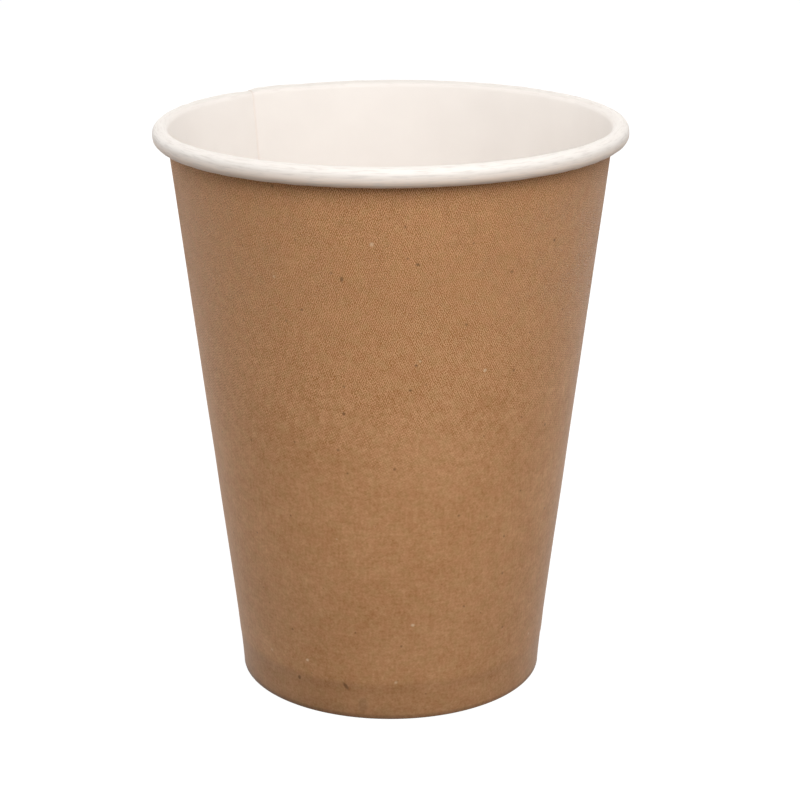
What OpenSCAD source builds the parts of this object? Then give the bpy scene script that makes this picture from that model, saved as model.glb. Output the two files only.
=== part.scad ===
// Paper hot cup for about 360 ml. One fan-shaped blank of board makes the sidewall:
// it is lapped and sealed at the side, rolled outwards at the rim and folded in
// round the skirt of a separate bottom disc. The blank's inner face is white.

/* [Cup] */
// Outside diameter across the rolled rim
rim_d = 90; // [86:0.5:96]
// Overall height
cup_h = 110.5; // [90:0.5:130]
// Outside diameter at the foot
base_d = 59.5; // [54:0.5:64]

/* [Board] */
// Thickness of the sidewall board
wall_t = 0.35; // [0.26:0.01:0.38]
// Thickness of the bottom board
floor_t = 0.3; // [0.2:0.01:0.4]

/* [Rolled rim] */
// Width of the roll, from the wall's white face to its outermost line
roll_w = 3.2; // [3:0.05:3.8]
// Height of the upright stretch on the roll's outer side
roll_flat = 0.45; // [0.1:0.05:1]
// Angle through which the board's edge turns over inside the roll
tuck_turn = 130; // [110:5:150]
// Room between that edge and the roll round it
tuck_room = 0.2; // [0.1:0.05:0.4]
// Room between the underside of the roll and the wall
tuck_gap = 0.05; // [0.02:0.01:0.1]

/* [Side seam] */
// Width of the lap at the rim
lap_w = 7; // [5:0.5:10]
// Width at the rim over which the board climbs onto its own edge
ramp_w = 2; // [1:0.2:4]
// Direction of the inner cut edge, anticlockwise from +X
seam_dir = 131.5; // [0:0.5:360]

/* [Hem and bottom] */
// Height of the hem folded up inside the foot
hem_h = 8; // [5:0.5:12]
// Lean of the pressed hem band from upright
hem_lean = 5.2; // [3:0.1:6.2]
// Inside radius of the two folds at the foot
fold_r = 0.05; // [0.02:0.01:0.1]
// Room between the bottom disc and the board round it
seal_gap = 0.02; // [0.01:0.01:0.05]
// Outside radius of the bend from the skirt to the floor
bend_r = 0.9; // [0.6:0.05:1.2]

/* [Hidden] */
turn_fn = 144;

// Steps in the drawn arcs: the roll's top, its other quarters, each foot fold and
// the disc's bend
roll_steps = 16;
curl_steps = 8;
fold_steps = 4;
bend_steps = 6;

// A unit vector in the section plane, where x runs outwards and y up
function unit(a) = [cos(a), sin(a)];

// An arc round c in n equal steps, without its first point
function arc(c, r, a0, a1, n) = [for (i = [1:n]) c + r * unit(a0 + (a1 - a0) * i / n)];

// Roll: a top arc, a short upright stretch and a lower arc
roll_r = roll_w / 2;
roll_top = [rim_d / 2 - roll_r, cup_h - roll_r];
roll_low = roll_top - [0, roll_flat];

// Hem band: it leans a little less than the body, and its outer face would meet
// the table at base_d. The hem stands hem_slot inside it, with room for the skirt.
hem_side = unit(-hem_lean);
hem_slot = floor_t + 2 * seal_gap;
function along_hem(from, z) = from + (z - from.y) * [tan(hem_lean), 1];
band_top = along_hem([base_d / 2 - wall_t / cos(hem_lean), 0], hem_h);
hem_top = band_top - [hem_slot / cos(hem_lean), 0];

// Centres of the two folds under the foot, for board down to depth d1. The white
// face stands higher where the board is double, so that the foot stays level.
function fold_out(d1) = along_hem(band_top - [fold_r / cos(hem_lean), 0], fold_r + d1);
function fold_in(d1) = along_hem(hem_top + [fold_r / cos(hem_lean), 0], fold_r + d1);

// Body: the white face runs straight from the band's top and just touches the roll
reach = roll_top - band_top;
body_lean = 90 - atan2(reach.y, reach.x) - asin(roll_r / norm(reach));
knee_side = unit(-(hem_lean + body_lean) / 2) / cos((body_lean - hem_lean) / 2);

// Tuck: past the underside the board turns up beside the wall and then over. It
// fills the room inside the roll, so both turns are tighter where it is double.
wall_x = band_top.x + (roll_low.y - band_top.y) * tan(body_lean);
function under_r(d0, d1) = roll_low.x - wall_x - d1 / cos(body_lean) - tuck_gap + d0;
function under(d0, d1) = [roll_low.x, roll_low.y - roll_r + under_r(d0, d1)];
function tuck_r(d0, d1) =
    d0 + (under_r(d0, d1) + roll_r - d0 - d1 - tuck_room) / (1 - cos(tuck_turn));
function tuck(d0, d1) = under(d0, d1) - [under_r(d0, d1) - tuck_r(d0, d1), 0];

// One face of the blank from its rolled edge to its folded edge, at depth d below
// the white face, for board that lies between depths d0 and d1
function blank_face(d, d0, d1) = concat(
    [tuck(d0, d1) + (tuck_r(d0, d1) - d) * unit(180 - tuck_turn)],
    arc(tuck(d0, d1), tuck_r(d0, d1) - d, 180 - tuck_turn, 180, curl_steps),
    arc(under(d0, d1), under_r(d0, d1) - d, 180, 270, curl_steps),
    arc(roll_low, roll_r - d, -90, 0, curl_steps),
    [roll_top + [roll_r - d, 0]],
    arc(roll_top, roll_r - d, 0, 180 - body_lean, roll_steps),
    [band_top + d * knee_side, fold_out(d1) + (fold_r + d) * hem_side],
    arc(fold_out(d1), fold_r + d, -hem_lean, -90, fold_steps),
    [fold_in(d1) - [0, fold_r + d]],
    arc(fold_in(d1), fold_r + d, -90, -180 - hem_lean, fold_steps),
    [hem_top - d * hem_side]
);

// Part of the blank's turn round the cup, which runs a hair into its neighbours.
// Depths of 0 and wall_t give one layer.
weld = 0.05;
module blank_turn(from, to, d0, d1) {
    edge = blank_face(d1, d0, d1);
    rotate_extrude(start = from - weld, angle = to - from + 2 * weld, $fn = turn_fn)
        polygon(concat(blank_face(d0, d0, d1), [for (i = [len(edge) - 1:-1:0]) edge[i]]));
}

// The blank, with two layers in the lap and a ramp of small steps up to it
seam_turn = 360 / (PI * (rim_d - 2 * roll_w));
lap_turn = lap_w * seam_turn;
ramp_turn = ramp_w * seam_turn;
ramp_steps = 5;

module sidewall() {
    color("#A87F58") rotate([0, 0, seam_dir]) {
        blank_turn(ramp_turn, 360 - lap_turn, 0, wall_t);
        blank_turn(-lap_turn, 0, 0, 2 * wall_t);
        for (i = [0:ramp_steps - 1]) {
            lift = wall_t * (1 - (i + 0.5) / ramp_steps);
            blank_turn(ramp_turn * i / ramp_steps, ramp_turn * (i + 1) / ramp_steps, lift, lift + wall_t);
        }
    }
}

// A round disc of board, drawn to a skirt that stands in the hem's slot, clear of
// the double board at the foot. The hem ends where the skirt bends into the floor.
skirt_foot = along_hem(band_top, 2 * wall_t + seal_gap) - seal_gap * hem_side;
bend = along_hem(skirt_foot, hem_h + seal_gap) - [bend_r / cos(hem_lean), 0];
floor_top = bend.y + bend_r;

module bottom_disc() {
    color("#F4EEE6") rotate_extrude($fn = turn_fn)
        polygon(concat(
            [skirt_foot - floor_t * hem_side, skirt_foot, bend + bend_r * hem_side],
            arc(bend, bend_r, -hem_lean, 90, bend_steps),
            [[0, floor_top], [0, floor_top - floor_t]],
            [bend + [0, bend_r - floor_t]],
            arc(bend, bend_r - floor_t, 90, -hem_lean, bend_steps)
        ));
}

sidewall();
bottom_disc();
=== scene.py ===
from math import asin, atan2, cos, exp, pi, radians, sin, tan

import bmesh
import bpy
from mathutils import Matrix, Vector, noise


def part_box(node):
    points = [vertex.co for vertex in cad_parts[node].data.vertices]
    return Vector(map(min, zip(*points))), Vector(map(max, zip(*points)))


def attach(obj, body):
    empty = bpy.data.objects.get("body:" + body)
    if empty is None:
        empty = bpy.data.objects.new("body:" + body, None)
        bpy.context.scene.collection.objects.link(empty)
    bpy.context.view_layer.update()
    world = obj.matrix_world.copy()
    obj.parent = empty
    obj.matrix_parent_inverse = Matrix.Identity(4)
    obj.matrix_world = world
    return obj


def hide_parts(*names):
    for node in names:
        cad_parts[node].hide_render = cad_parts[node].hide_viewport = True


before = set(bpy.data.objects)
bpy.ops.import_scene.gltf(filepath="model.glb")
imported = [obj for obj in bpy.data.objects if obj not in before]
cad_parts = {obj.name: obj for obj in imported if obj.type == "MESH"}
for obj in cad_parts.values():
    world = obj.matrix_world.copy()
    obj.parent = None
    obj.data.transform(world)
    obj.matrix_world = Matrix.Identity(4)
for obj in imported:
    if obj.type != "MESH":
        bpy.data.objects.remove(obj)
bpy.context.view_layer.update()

# Sidewall: one fan-shaped blank of paperboard, kraft outside and coated white inside.
# It is wrapped to a cone with its ends lapped and sealed, rolled outwards at the rim
# and folded in and up at the foot, where the hem holds the bottom disc. Sizes in mm.
MM = 0.001
cup_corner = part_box("sidewall")[1] / MM
rim_r = cup_corner.x
cup_h = cup_corner.z
base_r = 29.75
wall_t = 0.35
floor_t = 0.3
roll_r = 1.6
roll_flat = 0.45
tuck_turn = 130
tuck_room = 0.2
tuck_gap = 0.05
lap_w = 7
ramp_w = 2
climb_w = 6.4
press_w = 2.4
edge_w = 0.4
seam_dir = 131.5
hem_h = 8
hem_lean = radians(5.2)
fold_r = 0.05
seal_gap = 0.02


def side(angle):
    """A unit vector in the section plane, where 0 radians points outwards and a quarter turn up."""
    return Vector((cos(angle), 0, sin(angle)))


# The section's centres and corners, on the blank's white face
out = Vector((1, 0, 0))
up = Vector((0, 0, 1))
up_hem = Vector((tan(hem_lean), 0, 1))
roll_top = Vector((rim_r - roll_r, 0, cup_h - roll_r))
roll_low = roll_top - roll_flat * up
band_top = out * (base_r - wall_t / cos(hem_lean)) + hem_h * up_hem
hem_top = band_top - out * (floor_t + 2 * seal_gap) / cos(hem_lean)
fold_drop = (hem_h - fold_r - wall_t) * up_hem
fold_out = band_top - out * fold_r / cos(hem_lean) - fold_drop
fold_in = hem_top + out * fold_r / cos(hem_lean) - fold_drop
reach = roll_top - band_top
body_lean = pi / 2 - atan2(reach.z, reach.x) - asin(roll_r / reach.length)
wall_x = band_top.x + (roll_low.z - band_top.z) * tan(body_lean)
under_r = roll_low.x - wall_x - wall_t / cos(body_lean) - tuck_gap
under = roll_low - (roll_r - under_r) * up
tuck_r = (under_r + roll_r - wall_t - tuck_room) / (1 - cos(radians(tuck_turn)))
tuck = under - (under_r - tuck_r) * out

blank = bmesh.new()
along = blank.verts.layers.float.new("along")
turned = blank.verts.layers.float.new("turned")


def only_verts(geom):
    """The vertices among an operator's results."""
    return [item for item in geom if isinstance(item, bmesh.types.BMVert)]


def draw_to(bm, end, place, steps=1):
    """Draw a section's end on in a straight line, and give the new end."""
    begin = end.co.copy()
    for step in range(steps):
        end = bmesh.ops.extrude_vert_indiv(bm, verts=[end])["verts"][0]
        end.co = begin.lerp(place, (step + 1) / steps)
    return end


def carry_round(bm, end, centre, angle, steps):
    """Carry a section's end on round an arc in its plane, and give the new end."""
    turn = Matrix.Rotation(-angle / steps, 3, "Y")
    for step in range(steps):
        end = draw_to(bm, end, end.co)
        bmesh.ops.rotate(bm, verts=[end], cent=centre, matrix=turn)
    return end


# The section runs from the edge tucked inside the roll to the hem's top
start = blank.verts.new(tuck + tuck_r * side(pi - radians(tuck_turn)))
end = carry_round(blank, start, tuck, radians(tuck_turn), steps=9)
roll_bottom = carry_round(blank, end, under, pi / 2, steps=6)
end = carry_round(blank, roll_bottom, roll_low, pi / 2, steps=9)
end = draw_to(blank, end, roll_top + roll_r * out)
wall_end = carry_round(blank, end, roll_top, pi - body_lean, steps=20)
band_end = draw_to(blank, wall_end, band_top, steps=24)
end = draw_to(blank, band_end, fold_out + fold_r * side(-hem_lean), steps=12)
foot_end = carry_round(blank, end, fold_out, hem_lean - pi / 2, steps=4)
end = draw_to(blank, foot_end, fold_in - fold_r * up)
end = carry_round(blank, end, fold_in, -pi / 2 - hem_lean, steps=4)
draw_to(blank, end, hem_top, steps=4)

# Each vertex keeps its distance along the board from the tucked edge
section = blank.verts[:]
for before, vert in zip(section, section[1:]):
    vert[along] = before[along] + (vert.co - before.co).length
roll_bottom_along = roll_bottom[along]
wall_along = wall_end[along]
wall_reach = wall_end.co.x
band_along = band_end[along]
foot_along = foot_end[along]

# The section is wound clockwise from the inner cut edge, past a full turn by the lap
rim_turn = 1 / (rim_r - 2 * roll_r)
lap_turn = lap_w * rim_turn
ramp_turn = ramp_w * rim_turn
climb_turn = climb_w * rim_turn
press_turn = press_w * rim_turn
edge_turn = edge_w * rim_turn
plain_turn = 2 * pi - lap_turn - 2 * ramp_turn
bmesh.ops.rotate(blank, verts=blank.verts, matrix=Matrix.Rotation(radians(seam_dir), 3, "Z"))
column = blank.verts[:] + blank.edges[:]
angle = 0
for stretch, steps in [(edge_turn, 3), (lap_turn - edge_turn, 12), (ramp_turn, 6), (plain_turn, 320),
                       (ramp_turn, 6), (lap_turn, 12)]:
    for step in range(steps):
        made = bmesh.ops.spin(blank, geom=column, axis=(0, 0, 1), angle=-stretch / steps, steps=1)
        column = made["geom_last"]
        angle += stretch / steps
        for vert in only_verts(column):
            vert[turned] = angle
bmesh.ops.recalc_face_normals(blank, faces=blank.faces)
blank.normal_update()


def smooth_step(value, low, high):
    """0 below low and 1 above high, with a smooth climb between them."""
    share = min(max((value - low) / (high - low), 0), 1)
    return share * share * (3 - 2 * share)


def roll_share(vert):
    """0 on the wall and 1 on the roll, with a smooth climb over the roll's inner shoulder."""
    return smooth_step(wall_along - vert[along], 0, roll_r)


# Where the board is double, the outer end climbs onto the inner one, the fold under the
# foot rides higher and the tucked edge curls tighter to find room inside the roll. The
# rolling tool shares the step out between the layers, over a longer climb.
lap_gap = 0.01
fold_top = 2 * wall_t
tight_tuck = 0.72
rim_lift = 0.17
# The roll is a little off centre, pinched and dented, the wall is slightly wavy, a low
# ridge stands over the pressed hem, and the fold at the foot springs out
roll_shift, roll_pinch = 0.12, 0.12
roll_dent, dent_w = 0.07, 2.6
wall_wave, wave_w = 0.06, 14
ridge_out, ridge_w = 0.09, 1.1
fold_spring, spring_h = 0.1, 1.6
moves = []
for vert in blank.verts:
    on_roll = roll_share(vert)
    first = 1 - smooth_step(vert[turned], lap_turn, lap_turn + climb_turn)
    second = smooth_step(vert[turned], 2 * pi - climb_turn, 2 * pi)
    crowd = first + second
    move = vert.normal * (rim_lift * on_roll * crowd - (wall_t + lap_gap) * second)
    outwards = Vector((vert.co.x, vert.co.y, 0)).normalized()
    if vert.co.z < fold_top:
        move += up * (wall_t + lap_gap) * crowd
    if vert[along] < roll_bottom_along:
        heart = outwards * roll_low.x + up * (roll_low.z - roll_r)
        move += (heart - vert.co) * (1 - tight_tuck) * crowd
    move += vert.normal * roll_dent * on_roll * noise.noise(vert.co / dent_w)
    clear = smooth_step(vert.co.xy.length - wall_reach, 0, 2 * roll_r)
    move += (roll_shift * out - roll_pinch * outwards) * clear
    on_wall = smooth_step(vert.co.z, hem_h, 3 * hem_h)
    move += outwards * wall_wave * on_wall * noise.noise(vert.co / wave_w)
    if vert[along] <= foot_along:
        near_ridge = exp(-((vert.co.z - hem_h) / ridge_w) ** 2)
        move += outwards * ridge_out * near_ridge * (1 + noise.noise(vert.co / wave_w))
        move += outwards * fold_spring * exp(-vert.co.z / spring_h)
    moves.append(move)
for vert, move in zip(blank.verts, moves):
    vert.co += move

# The board gets its thickness on the kraft side
white_faces = set(blank.faces)
made = bmesh.ops.solidify(blank, geom=blank.faces[:], thickness=wall_t)
kraft_faces = {item for item in made["geom"] if isinstance(item, bmesh.types.BMFace)}

# The heat of the seal presses the inner layer down towards its cut edge, and the edge
# itself into the film
layer_press, edge_press = 0.24, 0.07
blank.normal_update()
pressed_down = []
for vert in {vert for face in white_faces for vert in face.verts}:
    if roll_bottom_along < vert[along] < band_along and vert[turned] < press_turn:
        depth = layer_press * (1 - smooth_step(vert[turned], 0, press_turn))
        depth += edge_press * (1 - smooth_step(vert[turned], 0, edge_turn))
        pressed_down.append((vert, -vert.normal * depth))
for vert, move in pressed_down:
    vert.co += move

# The rim of the real cup stands a little higher on one side, which bends the wall's top
rim_tilt, tilt_bend = radians(0.29), 3
for vert in blank.verts:
    vert.co.z += tan(rim_tilt) * vert.co.x * (vert.co.z / cup_h) ** tilt_bend

# The map is the flat blank itself, in mm, with the front of the cup upright. Film that
# melts over the inner cut edge covers its fibres.
front_turn = radians(seam_dir + 90)
apex_reach = wall_reach / sin(body_lean) + wall_along
flat_map = blank.loops.layers.uv.new("blank")
for face in blank.faces:
    face.smooth = True
    sealed = all(vert[turned] == 0 for vert in face.verts)
    face.material_index = 0 if sealed or face in white_faces else 1 if face in kraft_faces else 2
    for loop in face.loops:
        slant = apex_reach - loop.vert[along]
        fan = (loop.vert[turned] - front_turn) * sin(body_lean)
        loop[flat_map].uv = (slant * sin(fan), slant * cos(fan))
for edge in blank.edges:
    edge.smooth = len({(face.material_index, face in white_faces) for face in edge.link_faces}) == 1


def finish_piece(name, bm, materials, body, node):
    """Make a modelled piece an object in metres that rides on a body and stands for a node."""
    bmesh.ops.scale(bm, verts=bm.verts, vec=(MM, MM, MM))
    mesh = bpy.data.meshes.new(name)
    bm.to_mesh(mesh)
    bm.free()
    for material in materials:
        mesh.materials.append(material)
    piece = bpy.data.objects.new(name, mesh)
    bpy.context.scene.collection.objects.link(piece)
    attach(piece, body)
    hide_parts(node)
    return piece


def linear(hex_colour):
    """An sRGB hex colour as linear light."""
    channels = [int(hex_colour[i:i + 2], 16) / 255 for i in (1, 3, 5)]
    return [c / 12.92 if c <= 0.04045 else ((c + 0.055) / 1.055) ** 2.4 for c in channels] + [1]


def add(tree, kind, inputs=None, **settings):
    """Add a node with its settings; an input takes a value, or a socket to link from."""
    node = tree.nodes.new("ShaderNode" + kind)
    for name, value in settings.items():
        setattr(node, name, value)
    for name, value in (inputs or {}).items():
        if isinstance(value, bpy.types.NodeSocket):
            tree.links.new(value, node.inputs[name])
        else:
            node.inputs[name].default_value = value
    return node


# The colour sockets of a Mix node, which shares its names between kinds of value
COLOUR_A, COLOUR_B, COLOUR = 6, 7, 2


def new_material(name):
    """An empty material's node tree, and the material."""
    material = bpy.data.materials.new(name)
    material.use_nodes = True
    material.node_tree.nodes.clear()
    return material, material.node_tree


# Polyethylene-coated white board: a smooth satin film over fine fibres, faintly cloudy.
# Pattern sizes are in mm, on the flat map as they are and on the object with MM.
coated_white, tree = new_material("coated_white_board")
where = add(tree, "TexCoord").outputs["Object"]
sheet = add(tree, "UVMap", uv_map="blank").outputs["UV"]
cloudy = add(tree, "TexNoise", {"Vector": where, "Scale": 1 / (9 * MM), "Detail": 3.0})
tone = add(tree, "Mix", {
    "Factor": cloudy.outputs["Fac"],
    COLOUR_A: linear("#F2EBE5"),
    COLOUR_B: linear("#F9F3ED"),
}, data_type="RGBA").outputs[COLOUR]

# The film is stretched thin round the roll, and the fibres draw out into streaks along it.
# Painted shade makes the crown a shade greyer, a painted light band brightens the outer face
# just past the crown, and a painted warm reflection of the kraft tints the lower outer side.
# Each tint has its first and last place in roll radii from the wall, its share and colour.
slant = add(tree, "VectorMath", {0: sheet}, operation="LENGTH").outputs["Value"]
rim_slant = apex_reach - wall_along
# Painted shade over the crown, a painted light band on the outer face, a painted warm reflection below it
for first, last, share, colour in [(0.5, 1.0, 0.35, "#DAD2C8"), (1.5, 2.2, 0.9, "#FAF3EC"),
                                   (2.5, 4.2, 0.58, "#EBC3A0")]:
    reached = add(tree, "MapRange", {"Value": slant, "From Min": rim_slant + first * roll_r,
                                     "From Max": rim_slant + last * roll_r, "To Max": share},
                  interpolation_type="SMOOTHSTEP")
    tone = add(tree, "Mix", {"Factor": reached.outputs["Result"], COLOUR_A: tone, COLOUR_B: linear(colour)},
               data_type="RGBA").outputs[COLOUR]
split = add(tree, "SeparateXYZ", {"Vector": sheet})
fan = add(tree, "Math", {0: split.outputs["X"], 1: split.outputs["Y"]}, operation="ARCTAN2").outputs["Value"]
# Along the inner cut edge runs a soft tan line, partly the bare edge showing under the thin film
# and partly painted shade of the seam's low step. The line has no far side, so on the bottom
# disc, which has a map of its own, a sector of the top takes this tint.
seam_tint_and_shade_w, seam_tint_and_shade_share = 0.7, 0.12
edge_fan = -front_turn * sin(body_lean)
from_edge = add(tree, "Math", {0: fan, 1: rim_slant, 2: -edge_fan * rim_slant}, operation="MULTIPLY_ADD")
# Soft line of tan tint and painted shade along the inner cut edge
seam_tint_and_shade = add(tree, "MapRange", {"Value": from_edge.outputs["Value"], "From Min": seam_tint_and_shade_w, "From Max": 0.0,
                                 "To Max": seam_tint_and_shade_share}, interpolation_type="SMOOTHSTEP")
tone = add(tree, "Mix", {"Factor": seam_tint_and_shade.outputs["Result"], COLOUR_A: tone, COLOUR_B: linear("#B5805A")},
           data_type="RGBA").outputs[COLOUR]
strand_l, strand_w = 3.5, 0.35
strand = add(tree, "Math", {0: fan, 1: rim_slant / strand_l}, operation="MULTIPLY")
across = add(tree, "Math", {0: slant, 1: 1 / strand_w}, operation="MULTIPLY")
strands = add(tree, "CombineXYZ", {"X": strand.outputs["Value"], "Y": across.outputs["Value"]})
streaks = add(tree, "TexNoise", {"Vector": strands.outputs["Vector"], "Scale": 1.0, "Detail": 2.0},
              noise_dimensions="2D")
drawn = add(tree, "MapRange", {"Value": streaks.outputs["Fac"], "From Min": 0.5, "From Max": 0.72})
on_roll = add(tree, "MapRange", {"Value": slant, "From Min": rim_slant, "From Max": rim_slant + roll_r})
streaky = add(tree, "Math", {0: drawn.outputs["Result"], 1: on_roll.outputs["Result"]}, operation="MULTIPLY")
streak_share, streak_depth = 0.5, 1.5
veil = add(tree, "Math", {0: streaky.outputs["Value"], 1: streak_share}, operation="MULTIPLY")
tone = add(tree, "Mix", {"Factor": veil.outputs["Value"], COLOUR_A: tone, COLOUR_B: linear("#DDD3CB")},
           data_type="RGBA")
fibres = add(tree, "TexNoise", {"Vector": where, "Scale": 1 / (0.8 * MM), "Detail": 4.0})
height = add(tree, "Math", {0: streaky.outputs["Value"], 1: -streak_depth, 2: fibres.outputs["Fac"]},
             operation="MULTIPLY_ADD")
relief = add(tree, "Bump", {"Height": height.outputs["Value"], "Distance": 0.008 * MM, "Strength": 1.0})
shader = add(tree, "BsdfPrincipled", {
    "Base Color": tone.outputs[COLOUR],
    "Roughness": 0.55,
    "IOR": 1.45,
    "Normal": relief.outputs["Normal"],
})
add(tree, "OutputMaterial", {"Surface": shader.outputs["BSDF"]})

# Unbleached kraft liner: matt brown fibres, with the dotted marks of the felt and the
# wire mesh that the sheet was formed between, cloudy tone, dark bark and pale fibre
# flecks, and a grey bloom of loose fibres seen edge on
kraft, tree = new_material("unbleached_kraft")
sheet = add(tree, "UVMap", uv_map="blank").outputs["UV"]
wander = add(tree, "TexNoise", {"Vector": sheet, "Scale": 1 / 2.4, "Detail": 2.0}, noise_dimensions="2D")
shift = add(tree, "VectorMath", {0: wander.outputs["Color"], 1: (0.5, 0.5, 0.5)}, operation="SUBTRACT")
wander_reach = 0.5
shaken = add(tree, "VectorMath", {0: shift.outputs["Vector"], 1: (wander_reach, wander_reach, 0), 2: sheet},
             operation="MULTIPLY_ADD").outputs["Vector"]

# Felt and wire marks: the real mesh has about ten wires to the mm, drawn here with the
# coarser rows that a picture shows of it, each by its ridges per mm across the blank and
# up it and by its strength. Rows and loose dots come and go in patches and fade downwards,
# the finest first.
fine_rows = [(2.5, 0.88, 1.5), (-2.75, 1.5, 2.1)]
coarse_rows = [(-1.6, 0.69, 0.75), (1.4, 1.69, 0.85), (0.75, 1.6, 0.6), (-1.73, 1.4, 0.5),
               (-0.9, 2.15, 0.75)]
slant = add(tree, "VectorMath", {0: sheet}, operation="LENGTH").outputs["Value"]
band_slant = apex_reach - band_along
fade_end, fade_start = band_slant + 34, band_slant + 86
fade = add(tree, "MapRange", {"Value": slant, "From Min": fade_end, "From Max": fade_start,
                              "To Min": 0.08, "To Max": 1.62}, interpolation_type="SMOOTHSTEP")
flock_level, dot_level = 3.2, 14.0
flocks = add(tree, "TexNoise", {"Vector": sheet, "Scale": 1 / 1.3, "Detail": 1.0}, noise_dimensions="2D")
level = add(tree, "Math", {0: flocks.outputs["Fac"], 1: flock_level, 2: -flock_level / 2},
            operation="MULTIPLY_ADD").outputs["Value"]
dots = add(tree, "TexNoise", {"Vector": sheet, "Scale": 1 / 0.16, "Detail": 0.0}, noise_dimensions="2D")
marks = add(tree, "Math", {0: dots.outputs["Fac"], 1: dot_level, 2: -dot_level / 2},
            operation="MULTIPLY_ADD").outputs["Value"]
for rows, behind in [(fine_rows, level), (coarse_rows, None)]:
    for across_mm, up_mm, share in rows:
        phase = add(tree, "VectorMath", {0: shaken, 1: (2 * pi * across_mm, 2 * pi * up_mm, 0)},
                    operation="DOT_PRODUCT")
        ridges = add(tree, "Math", {0: phase.outputs["Value"]}, operation="SINE")
        marks = add(tree, "Math", {0: ridges.outputs["Value"], 1: share, 2: marks},
                    operation="MULTIPLY_ADD").outputs["Value"]
    if behind:
        marks = add(tree, "Math", {0: marks, 1: fade.outputs["Result"], 2: behind},
                    operation="MULTIPLY_ADD").outputs["Value"]
patches = add(tree, "TexNoise", {"Vector": sheet, "Scale": 1 / 5, "Detail": 2.0}, noise_dimensions="2D")
patchy = add(tree, "MapRange", {"Value": patches.outputs["Fac"], "From Min": 0.3, "From Max": 0.7,
                                "To Min": 0.55, "To Max": 1.25})
strength = add(tree, "Math", {0: fade.outputs["Result"], 1: patchy.outputs["Result"]}, operation="MULTIPLY")
marked = add(tree, "Math", {0: marks, 1: strength.outputs["Value"]}, operation="MULTIPLY").outputs["Value"]

# Tone: the marks, the felt's faint square weave, single fibres, flocks and slow clouds
mark_share, weave_share = 0.195, 0.018
grain = add(tree, "Math", {0: marked, 1: mark_share, 2: 0.5}, operation="MULTIPLY_ADD").outputs["Value"]
for across_mm, up_mm in [(1.22, 0.1), (0, 1.19)]:
    phase = add(tree, "VectorMath", {0: shaken, 1: (2 * pi * across_mm, 2 * pi * up_mm, 0)},
                operation="DOT_PRODUCT")
    ridges = add(tree, "Math", {0: phase.outputs["Value"]}, operation="SINE")
    grain = add(tree, "Math", {0: ridges.outputs["Value"], 1: weave_share, 2: grain},
                operation="MULTIPLY_ADD").outputs["Value"]
for size, detail, share in [(0.45, 1, 0.4), (1.0, 1, 0.4), (3.2, 2, 0.35), (16, 2, 0.3)]:
    drift = add(tree, "TexNoise", {"Vector": sheet, "Scale": 1 / size, "Detail": detail},
                noise_dimensions="2D")
    centred = add(tree, "Math", {0: drift.outputs["Fac"], 1: share, 2: -share / 2},
                  operation="MULTIPLY_ADD")
    grain = add(tree, "Math", {0: grain, 1: centred.outputs["Value"]}).outputs["Value"]
tone = add(tree, "Mix", {
    "Factor": grain,
    COLOUR_A: linear("#9D642A"),
    COLOUR_B: linear("#DFAA7C"),
}, data_type="RGBA", clamp_factor=True).outputs[COLOUR]
# The pulp's own hue drifts a little between flocks, towards olive and towards red
hues = add(tree, "TexNoise", {"Vector": sheet, "Scale": 1 / 2.2, "Detail": 2.0}, noise_dimensions="2D")
for low, high, colour in [(0.5, 0.7, "#BA925D"), (0.5, 0.3, "#C6885E")]:
    drift = add(tree, "MapRange", {"Value": hues.outputs["Fac"], "From Min": low, "From Max": high,
                                   "To Max": 0.24})
    tone = add(tree, "Mix", {"Factor": drift.outputs["Result"], COLOUR_A: tone, COLOUR_B: linear(colour)},
               data_type="RGBA").outputs[COLOUR]

# Hem: the press squeezes the fibres flat, which darkens the band up to a soft edge, and painted
# shade adds to it there. Painted shade also darkens the board above it a little, where the light
# falls off low down, and all of it is stronger on one side than on the other. The fold at its
# foot gets painted shade, most of all in a thin painted shadow line where it stands on the floor.
ragged = add(tree, "TexNoise", {"Vector": sheet, "Scale": 1 / 7, "Detail": 3.0}, noise_dimensions="2D")
ragged_reach = 2.0
rough_slant = add(tree, "Math", {0: ragged.outputs["Fac"], 1: ragged_reach, 2: slant},
                  operation="MULTIPLY_ADD").outputs["Value"]
# The band: partly the pressed fibres' own darker tone, partly painted shade
pressed_and_shaded_band = add(tree, "MapRange", {"Value": rough_slant, "From Min": band_slant + 2.6,
                                 "From Max": band_slant - 0.6}, interpolation_type="SMOOTHSTEP")
foot_slant = apex_reach - foot_along
# Painted shade, deepening towards the fold at the foot
foot_shade = add(tree, "MapRange", {"Value": rough_slant, "From Min": foot_slant + 4,
                                 "From Max": foot_slant + 0.6, "To Max": 0.8})
# Painted contact shadow: a thin dark line where the fold stands on the floor
contact_shadow = add(tree, "MapRange", {"Value": slant, "From Min": foot_slant + 0.9, "From Max": foot_slant + 0.3},
            interpolation_type="SMOOTHSTEP")
sideways = add(tree, "SeparateXYZ", {"Vector": sheet}).outputs["X"]
# The press and the painted shade are stronger on one side than on the other
press_and_shade_side = add(tree, "MapRange", {"Value": sideways, "From Min": -14, "From Max": 16,
                                    "To Min": 0.15, "To Max": 0.26})
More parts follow.
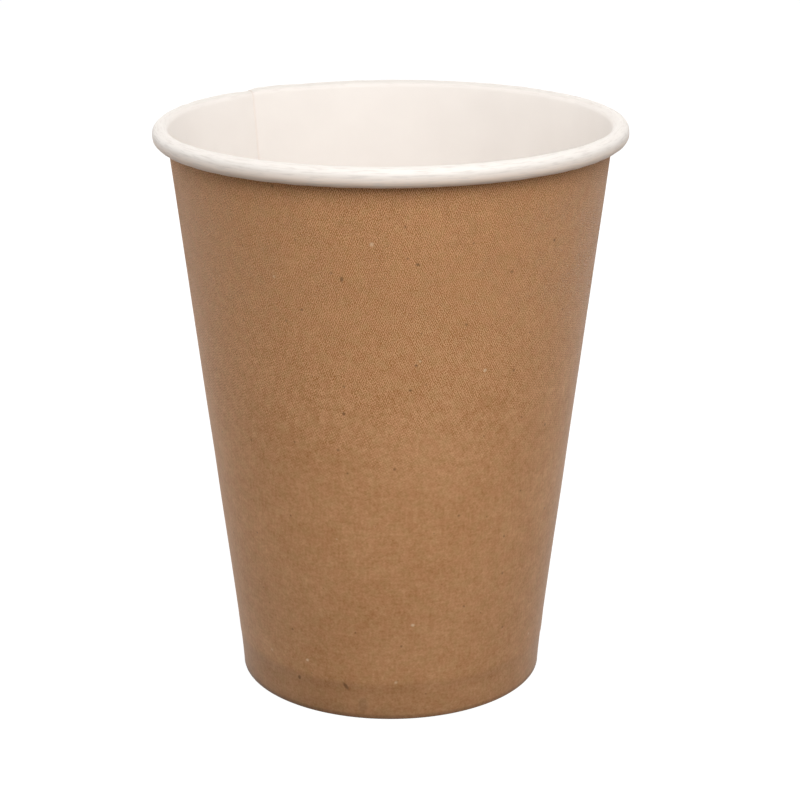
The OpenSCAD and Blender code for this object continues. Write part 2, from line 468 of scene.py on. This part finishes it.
# Painted shade: the board a little darker low down, where the light falls off
falloff_shade = add(tree, "MapRange", {"Value": rough_slant, "From Min": fade_end, "From Max": band_slant + 8,
                                 "To Max": 0.3}, interpolation_type="SMOOTHSTEP")
darker = add(tree, "Math", {0: pressed_and_shaded_band.outputs["Result"], 1: falloff_shade.outputs["Result"]}, operation="MAXIMUM")
press_and_shade = add(tree, "Math", {0: darker.outputs["Value"], 1: foot_shade.outputs["Result"]})
press_and_shade_dark = add(tree, "Math", {0: press_and_shade.outputs["Value"], 1: press_and_shade_side.outputs["Result"]}, operation="MULTIPLY")
contact_shadow_share = 0.22
press_and_shade_dark = add(tree, "Math", {0: contact_shadow.outputs["Result"], 1: contact_shadow_share, 2: press_and_shade_dark.outputs["Value"]},
           operation="MULTIPLY_ADD", use_clamp=True)
tone = add(tree, "Mix", {"Factor": press_and_shade_dark.outputs["Value"], COLOUR_A: tone, COLOUR_B: linear("#2A1A0E")},
           data_type="RGBA").outputs[COLOUR]

# Flecks and smudges: specks scattered at random over the sheet, and the spots that show on
# the front, each with its place, half its length and width in mm and its turn in degrees
bark = [(-4.8, 347.4, 0.5, 0.35, 20), (8.5, 344.5, 0.4, 0.7, 0), (16.0, 337.9, 0.35, 0.3, 0),
        (-4.5, 328.2, 0.35, 0.3, 0), (-3.6, 323.5, 0.35, 0.3, 0), (8.4, 318.5, 0.3, 0.4, 0),
        (-32.7, 347.2, 0.35, 0.35, 0), (18.5, 260.3, 0.4, 0.55, 0), (8.6, 261.0, 1.1, 0.45, 55)]
pale = [(3.2, 351.3, 0.5, 0.5, 0), (-17.4, 325.7, 0.45, 0.45, 0), (-4.1, 275.0, 0.5, 0.35, 0),
        (16.5, 264.8, 0.45, 0.4, 0)]
smudges = [(5.3, 257.2, 1.2, 2.2, 0)]
spot_core, spot_fringe = 0.35, 1.1
speck_least, speck_spread = 0.08, 0.35
for colour, spacing, opacity, flecks in [("#5E4128", 60, 0.25, smudges), ("#67431F", 11, 0.75, bark),
                                         ("#EFD2AE", 26, 0.55, pale)]:
    cells = add(tree, "TexVoronoi", {"Vector": shaken, "Scale": 1 / spacing}, voronoi_dimensions="2D")
    size = add(tree, "SeparateColor", {"Color": cells.outputs["Color"]}).outputs["Red"]
    speck_r = add(tree, "Math", {0: size, 1: speck_spread / spacing, 2: speck_least / spacing},
                  operation="MULTIPLY_ADD")
    shown = add(tree, "MapRange", {"Value": cells.outputs["Distance"], "From Min": speck_r.outputs["Value"],
                                   "From Max": 0.0}).outputs["Result"]
    for u, v, half_l, half_w, turn in flecks:
        own = add(tree, "Mapping", {"Vector": shaken, "Location": (u, v, 0),
                                    "Rotation": (0, 0, radians(turn)),
                                    "Scale": (half_l, half_w, 1)}, vector_type="TEXTURE")
        away = add(tree, "VectorMath", {0: own.outputs["Vector"]}, operation="LENGTH")
        spot = add(tree, "MapRange", {"Value": away.outputs["Value"], "From Min": spot_fringe,
                                      "From Max": spot_core}, interpolation_type="SMOOTHSTEP")
        shown = add(tree, "Math", {0: shown, 1: spot.outputs["Result"]}, operation="MAXIMUM").outputs["Value"]
    veil = add(tree, "Math", {0: shown, 1: opacity}, operation="MULTIPLY")
    tone = add(tree, "Mix", {"Factor": veil.outputs["Value"], COLOUR_A: tone, COLOUR_B: linear(colour)},
               data_type="RGBA").outputs[COLOUR]
relief = add(tree, "Bump", {"Height": marked, "Distance": 0.002 * MM, "Strength": 1.0})
shader = add(tree, "BsdfPrincipled", {
    "Base Color": tone,
    "Roughness": 0.75,
    "IOR": 1.45,
    "Sheen Weight": 0.24,
    "Sheen Roughness": 0.4,
    "Normal": relief.outputs["Normal"],
})
add(tree, "OutputMaterial", {"Surface": shader.outputs["BSDF"]})

# Cut edge of the board: bare pale fibres between the kraft and the coated face
cut_edge, tree = new_material("cut_board_edge")
where = add(tree, "TexCoord").outputs["Object"]
fibres = add(tree, "TexNoise", {"Vector": where, "Scale": 1 / (0.3 * MM), "Detail": 3.0})
tone = add(tree, "Mix", {
    "Factor": fibres.outputs["Fac"],
    COLOUR_A: linear("#E8DCCC"),
    COLOUR_B: linear("#F5EDE2"),
}, data_type="RGBA")
shader = add(tree, "BsdfPrincipled", {"Base Color": tone.outputs[COLOUR], "Roughness": 0.9})
add(tree, "OutputMaterial", {"Surface": shader.outputs["BSDF"]})

finish_piece("sidewall_board", blank, [coated_white, kraft, cut_edge], "root", "sidewall")

# Bottom disc: a round disc of thinner white board, drawn to a short skirt that is
# sealed in the hem, so that the floor stands above the table.
bend_r = 0.9
skirt_foot = band_top + (2 * wall_t + seal_gap - hem_h) * up_hem - seal_gap * side(-hem_lean)
bend = skirt_foot + (hem_h + seal_gap - skirt_foot.z) * up_hem - out * bend_r / cos(hem_lean)
disc = bmesh.new()
start = disc.verts.new(skirt_foot)
end = draw_to(disc, start, bend + bend_r * side(-hem_lean))
end = carry_round(disc, end, bend, pi / 2 + hem_lean, steps=8)
draw_to(disc, end, up * (bend.z + bend_r), steps=6)
bmesh.ops.spin(disc, geom=disc.verts[:] + disc.edges[:], axis=(0, 0, 1), angle=2 * pi, steps=180,
               use_merge=True)
bmesh.ops.remove_doubles(disc, verts=disc.verts, dist=0.001)
bmesh.ops.recalc_face_normals(disc, faces=disc.faces)
# The die leaves the floor a little uneven
floor_wave = 0.05
for vert in disc.verts:
    vert.co.z += floor_wave * noise.noise(vert.co / wave_w)
coated_faces = set(disc.faces)
bmesh.ops.solidify(disc, geom=disc.faces[:], thickness=floor_t)
flat_map = disc.loops.layers.uv.new("blank")
for face in disc.faces:
    face.smooth = True
    face.material_index = 0 if face in coated_faces else 1
    for loop in face.loops:
        loop[flat_map].uv = loop.vert.co.xy
for edge in disc.edges:
    edge.smooth = len({face.material_index for face in edge.link_faces}) == 1

# Uncoated white board: matt, a shade greyer than the film, with its fibres showing
uncoated_white, tree = new_material("uncoated_white_board")
where = add(tree, "TexCoord").outputs["Object"]
flocks = add(tree, "TexNoise", {"Vector": where, "Scale": 1 / (2.5 * MM), "Detail": 5.0})
tone = add(tree, "Mix", {
    "Factor": flocks.outputs["Fac"],
    COLOUR_A: linear("#DCD6CC"),
    COLOUR_B: linear("#F2EDE4"),
}, data_type="RGBA")
fibres = add(tree, "TexNoise", {"Vector": where, "Scale": 1 / (0.3 * MM), "Detail": 3.0})
relief = add(tree, "Bump", {"Height": fibres.outputs["Fac"], "Distance": 0.01 * MM, "Strength": 1.0})
shader = add(tree, "BsdfPrincipled", {
    "Base Color": tone.outputs[COLOUR],
    "Roughness": 0.85,
    "Normal": relief.outputs["Normal"],
})
add(tree, "OutputMaterial", {"Surface": shader.outputs["BSDF"]})

finish_piece("bottom_disc_board", disc, [coated_white, uncoated_white], "root", "bottom_disc")

# Camera: the photograph's, from the fit of the cup's outline
camera_back = 406.67
camera_up = 187.76
camera_pitch = radians(18.12)
camera_yaw = radians(0.261)
lens = 97.83
camera = bpy.data.objects.new("camera", bpy.data.cameras.new("camera"))
camera.data.sensor_width = 36
camera.data.lens = lens
camera.location = Vector((0, -camera_back, camera_up)) * MM
camera.rotation_euler = (pi / 2 - camera_pitch, 0, -camera_yaw)
bpy.context.scene.collection.objects.link(camera)
bpy.context.scene.camera = camera

# Floor: plain and pale, white to the camera with the cup's soft shadow kept
floor_w = 4
sheet_floor = bmesh.new()
bmesh.ops.create_grid(sheet_floor, x_segments=1, y_segments=1, size=floor_w / 2)
mesh = bpy.data.meshes.new("floor")
sheet_floor.to_mesh(mesh)
sheet_floor.free()
floor = bpy.data.objects.new("floor", mesh)
bpy.context.scene.collection.objects.link(floor)
floor_paint, tree = new_material("floor_paint")
rays = add(tree, "LightPath")
seen_white = add(tree, "Math", {0: rays.outputs["Is Camera Ray"], 1: rays.outputs["Is Glossy Ray"]},
                 operation="MAXIMUM")
matt = add(tree, "BsdfDiffuse", {"Color": linear("#6E6E6E")})
pale = add(tree, "BsdfDiffuse", {"Color": linear("#7F7F7F")})
ground_glow = 0.9
glow = add(tree, "Emission", {"Color": (1, 1, 1, 1), "Strength": ground_glow})
lit = add(tree, "AddShader", {0: pale.outputs["BSDF"], 1: glow.outputs["Emission"]})
mixed = add(tree, "MixShader", {"Fac": seen_white.outputs["Value"], 1: matt.outputs["BSDF"],
                                2: lit.outputs["Shader"]})
add(tree, "OutputMaterial", {"Surface": mixed.outputs["Shader"]})
mesh.materials.append(floor_paint)

# Light: a near soft box above and in front, a weak one at the right, and three behind that
# stand for the glow of a bright backdrop, in a pale room
room = bpy.data.worlds.new("room")
bpy.context.scene.world = room
room.use_nodes = True
tree = room.node_tree
tree.nodes.clear()
rays = add(tree, "LightPath")
seen = add(tree, "Math", {0: rays.outputs["Is Camera Ray"], 1: rays.outputs["Is Glossy Ray"]},
           operation="MAXIMUM")
seen = add(tree, "Math", {0: seen.outputs["Value"], 1: rays.outputs["Is Transmission Ray"]},
           operation="MAXIMUM")
room_level = 0.48
dim = add(tree, "Background", {"Color": (1, 1, 1, 1), "Strength": room_level})
white = add(tree, "Background", {"Color": (1, 1, 1, 1), "Strength": 1.0})
mixed = add(tree, "MixShader", {"Fac": seen.outputs["Value"], 1: dim.outputs["Background"],
                                2: white.outputs["Background"]})
add(tree, "OutputWorld", {"Surface": mixed.outputs["Shader"]})


def soft_box(name, place, aim, size, power):
    """A square soft box at a place in metres, turned to its aim."""
    lamp = bpy.data.lights.new(name, "AREA")
    lamp.size = size
    lamp.energy = power
    box = bpy.data.objects.new(name, lamp)
    box.location = place
    box.rotation_euler = (Vector(aim) - Vector(place)).to_track_quat("-Z", "Y").to_euler()
    bpy.context.scene.collection.objects.link(box)


soft_box("front_box", (0.06, -0.4, 0.42), (0, 0, 0.08), 0.3, 1.68)
soft_box("right_box", (0.5, -0.4, 0.32), (0, 0, 0.07), 0.4, 0.29)
soft_box("back_left_box", (-0.52, 0.3, 0.3), (0, 0, 0.07), 0.4, 0.97)
soft_box("back_right_box", (0.52, 0.3, 0.3), (0, 0, 0.07), 0.4, 0.3)
soft_box("back_top_box", (0, 0.55, 0.4), (0, 0, 0.09), 0.4, 0.66)

bpy.context.scene.view_settings.view_transform = "Standard"
